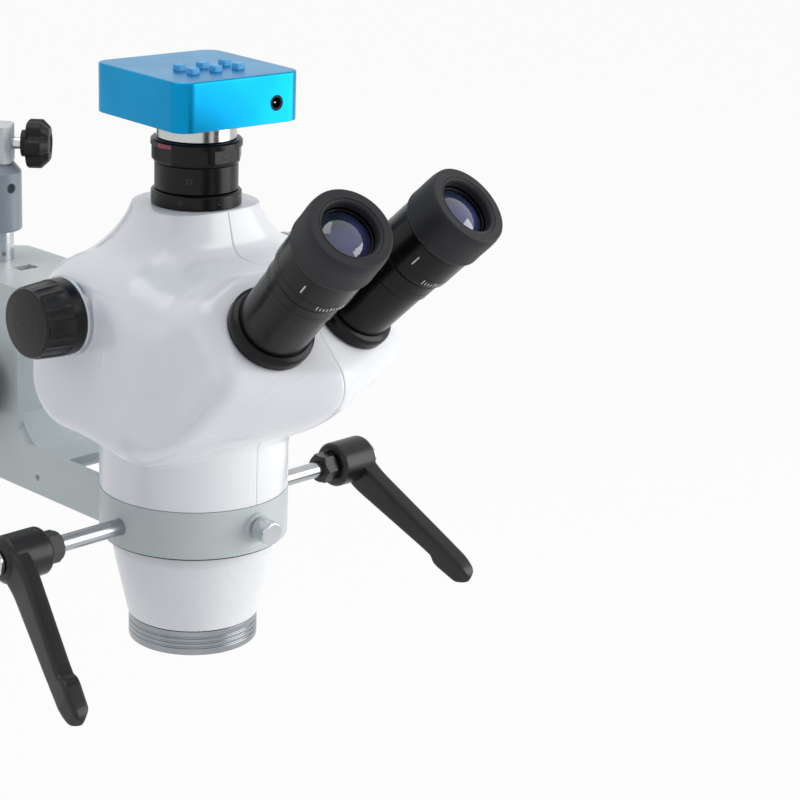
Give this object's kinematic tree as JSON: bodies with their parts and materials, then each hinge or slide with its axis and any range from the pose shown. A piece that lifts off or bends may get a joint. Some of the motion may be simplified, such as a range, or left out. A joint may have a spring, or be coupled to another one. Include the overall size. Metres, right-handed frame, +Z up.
{
  "type": "stereo operating microscope head",
  "caption": "White stereo microscope head with inclined eyepieces, top camera, zoom knobs and lever handles, held in a grey focusing arm on a drop pin.",
  "frame": {"origin": "centre of the objective ring's lower face, on the optical axis", "axes": "+Z up along the optical axis, -Y toward the operator, +X to the operator's right"},
  "size_m": [0.2408, 0.3276, 0.2723],
  "materials": {
    "light_casting": "satin light grey",
    "white_shell": "gloss white",
    "white_barrel": "gloss white",
    "grey_socket": "satin grey",
    "bright_steel": "fine turned",
    "chrome": "polished",
    "black_anodised": "black anodised",
    "bare_aluminium": "turned",
    "blue_anodised": "blue anodised, fine blasted",
    "black_plastic": "fine texture",
    "blue_plastic": "smooth",
    "board_green": "circuit board",
    "brass": "milled",
    "black_rubber": "matte",
    "coated_glass": "coated"
  },
  "bodies": {
    "boom_clamp": {"boom_knuckle": "bright_steel", "pin_socket": "grey_socket"},
    "star_knob": {"star_knob": "black_plastic", "star_knob_stud": "bright_steel"},
    "focus_slide": {"post_pin": "bright_steel", "slide_block": "light_casting", "focus_rack": "brass"},
    "focus_arm": {"arm_casting": "light_casting", "handle_rod_left": "chrome", "handle_rod_right": "chrome"},
    "head_lock_screw": {"head_lock_screw": "bright_steel"},
    "focus_knobs": {"pinion_shaft": "bright_steel", "focus_knob_left": "black_plastic", "focus_knob_right": "black_plastic"},
    "handle_left": {"hex_nut_left": "black_anodised", "lever_handle_left": "black_plastic", "cap_screw_left": "chrome"},
    "handle_right": {"hex_nut_right": "black_anodised", "lever_handle_right": "black_plastic", "cap_screw_right": "chrome"},
    "head": {"housing_left": "white_shell", "housing_right": "white_shell", "nose_barrel": "white_barrel", "objective_ring": "bare_aluminium", "objective_lens": "coated_glass", "zoom_collars": "bare_aluminium", "port_base_ring": "black_anodised", "port_tube": "black_anodised", "optical_frame": "black_anodised", "beam_splitter": "coated_glass"},
    "zoom_drive": {"zoom_shaft": "bright_steel", "zoom_knob_left": "black_plastic", "zoom_knob_right": "black_plastic"},
    "zoom_carriage": {"zoom_carriage": "bare_aluminium", "zoom_lenses": "coated_glass"},
    "parfocal_ring": {"parfocal_ring": "black_anodised"},
    "camera": {"cmount_ring": "bare_aluminium", "camera_case": "blue_anodised", "camera_base": "blue_anodised", "camera_board": "board_green"},
    "eyetube_left": {"eyetube_flange_left": "black_anodised", "eyetube_left": "black_anodised", "prism_left": "coated_glass"},
    "dioptre_ring_left": {"dioptre_ring_left": "black_anodised"},
    "eyepiece_left": {"eyepiece_left": "black_anodised", "eye_lens_left": "coated_glass", "eyecup_left": "black_rubber"},
    "eyetube_right": {"eyetube_flange_right": "black_anodised", "eyetube_right": "black_anodised", "prism_right": "coated_glass"},
    "dioptre_ring_right": {"dioptre_ring_right": "black_anodised"},
    "eyepiece_right": {"eyepiece_right": "black_anodised", "eye_lens_right": "coated_glass", "eyecup_right": "black_rubber"},
    "camera_button_1": {"camera_button_1": "blue_plastic"},
    "camera_button_2": {"camera_button_2": "blue_plastic"},
    "camera_button_3": {"camera_button_3": "blue_plastic"},
    "camera_button_4": {"camera_button_4": "blue_plastic"},
    "camera_button_5": {"camera_button_5": "blue_plastic"},
    "camera_button_6": {"camera_button_6": "blue_plastic"}
  },
  "joints": [
    {"name": "pin_swivel", "type": "hinge", "parent": "boom_clamp", "child": "focus_slide", "pos_m": [0, 0.1515, 0], "axis": [0, 0, 1], "continuous": true},
    {"name": "star_knob_turn", "type": "hinge", "parent": "boom_clamp", "child": "star_knob", "pos_m": [0, 0.1515, 0.2097], "axis": [0.7071, -0.7071, 0], "range_deg": [0, 720]},
    {"name": "focus_travel", "type": "slide", "parent": "focus_slide", "child": "focus_arm", "axis": [0, 0, 1], "range_m": [-0.02, 0.03]},
    {"name": "focus_knob_turn", "type": "hinge", "parent": "focus_arm", "child": "focus_knobs", "pos_m": [0, 0.1175, 0.1], "axis": [1, 0, 0], "range_deg": [-200, 200]},
    {"name": "lock_screw_turn", "type": "hinge", "parent": "focus_arm", "child": "head_lock_screw", "pos_m": [0, 0, 0.065], "axis": [0, -1, 0], "range_deg": [0, 720]},
    {"name": "handle_swing_left", "type": "hinge", "parent": "focus_arm", "child": "handle_left", "pos_m": [0, 0, 0.063], "axis": [1, 0, 0], "continuous": true},
    {"name": "handle_swing_right", "type": "hinge", "parent": "focus_arm", "child": "handle_right", "pos_m": [0, 0, 0.063], "axis": [1, 0, 0], "continuous": true},
    {"name": "head_swing", "type": "hinge", "parent": "focus_arm", "child": "head", "pos_m": [0, 0, 0], "axis": [0, 0, 1], "range_deg": [-120, 120]},
    {"name": "zoom_turn", "type": "hinge", "parent": "head", "child": "zoom_drive", "pos_m": [0, 0.01, 0.1645], "axis": [1, 0, 0], "range_deg": [-122, 122]},
    {"name": "zoom_travel", "type": "slide", "parent": "head", "child": "zoom_carriage", "axis": [0, 0, 1], "range_m": [-0.0134, 0.0134]},
    {"name": "eyetube_swing_left", "type": "hinge", "parent": "head", "child": "eyetube_left", "pos_m": [-0.0237, -0.08381, 0.16165], "axis": [-0.1236, -0.7078, 0.6955], "range_deg": [-18, 33]},
    {"name": "eyetube_swing_right", "type": "hinge", "parent": "head", "child": "eyetube_right", "pos_m": [0.0237, -0.08381, 0.16165], "axis": [0.1236, -0.7078, 0.6955], "range_deg": [-33, 18]},
    {"name": "dioptre_turn_left", "type": "hinge", "parent": "eyetube_left", "child": "dioptre_ring_left", "pos_m": [-0.02936, -0.10852, 0.20136], "axis": [-0.1236, -0.7078, 0.6955], "range_deg": [0, 245]},
    {"name": "eyepiece_travel_left", "type": "slide", "parent": "eyetube_left", "child": "eyepiece_left", "axis": [-0.1236, -0.7078, 0.6955], "range_m": [0, 0.004]},
    {"name": "dioptre_turn_right", "type": "hinge", "parent": "eyetube_right", "child": "dioptre_ring_right", "pos_m": [0.02936, -0.10852, 0.20136], "axis": [0.1236, -0.7078, 0.6955], "range_deg": [0, 245]},
    {"name": "eyepiece_travel_right", "type": "slide", "parent": "eyetube_right", "child": "eyepiece_right", "axis": [0.1236, -0.7078, 0.6955], "range_m": [0, 0.004]},
    {"name": "parfocal_turn", "type": "hinge", "parent": "head", "child": "parfocal_ring", "pos_m": [0, 0, 0], "axis": [0, 0, 1], "range_deg": [-90, 90]},
    {"name": "camera_turn", "type": "hinge", "parent": "head", "child": "camera", "pos_m": [0, 0, 0], "axis": [0, 0, 1], "range_deg": [-175, 175]},
    {"name": "button_press_1", "type": "slide", "parent": "camera", "child": "camera_button_1", "axis": [0, 0, -1], "range_m": [0, 0.0005], "stiffness_N_per_m": 300, "springref_m": -0.0005},
    {"name": "button_press_2", "type": "slide", "parent": "camera", "child": "camera_button_2", "axis": [0, 0, -1], "range_m": [0, 0.0005], "stiffness_N_per_m": 300, "springref_m": -0.0005},
    {"name": "button_press_3", "type": "slide", "parent": "camera", "child": "camera_button_3", "axis": [0, 0, -1], "range_m": [0, 0.0005], "stiffness_N_per_m": 300, "springref_m": -0.0005},
    {"name": "button_press_4", "type": "slide", "parent": "camera", "child": "camera_button_4", "axis": [0, 0, -1], "range_m": [0, 0.0005], "stiffness_N_per_m": 300, "springref_m": -0.0005},
    {"name": "button_press_5", "type": "slide", "parent": "camera", "child": "camera_button_5", "axis": [0, 0, -1], "range_m": [0, 0.0005], "stiffness_N_per_m": 300, "springref_m": -0.0005},
    {"name": "button_press_6", "type": "slide", "parent": "camera", "child": "camera_button_6", "axis": [0, 0, -1], "range_m": [0, 0.0005], "stiffness_N_per_m": 300, "springref_m": -0.0005}
  ],
  "couplings": [
    {"joint": "focus_knob_turn", "follows": "focus_travel", "rad_per_m": -111.11},
    {"joint": "zoom_turn", "follows": "zoom_travel", "rad_per_m": 156.25},
    {"joint": "eyetube_swing_right", "follows": "eyetube_swing_left", "ratio": -1},
    {"joint": "dioptre_turn_left", "follows": "eyepiece_travel_left", "rad_per_m": 1047.2},
    {"joint": "dioptre_turn_right", "follows": "eyepiece_travel_right", "rad_per_m": 1047.2}
  ]
}
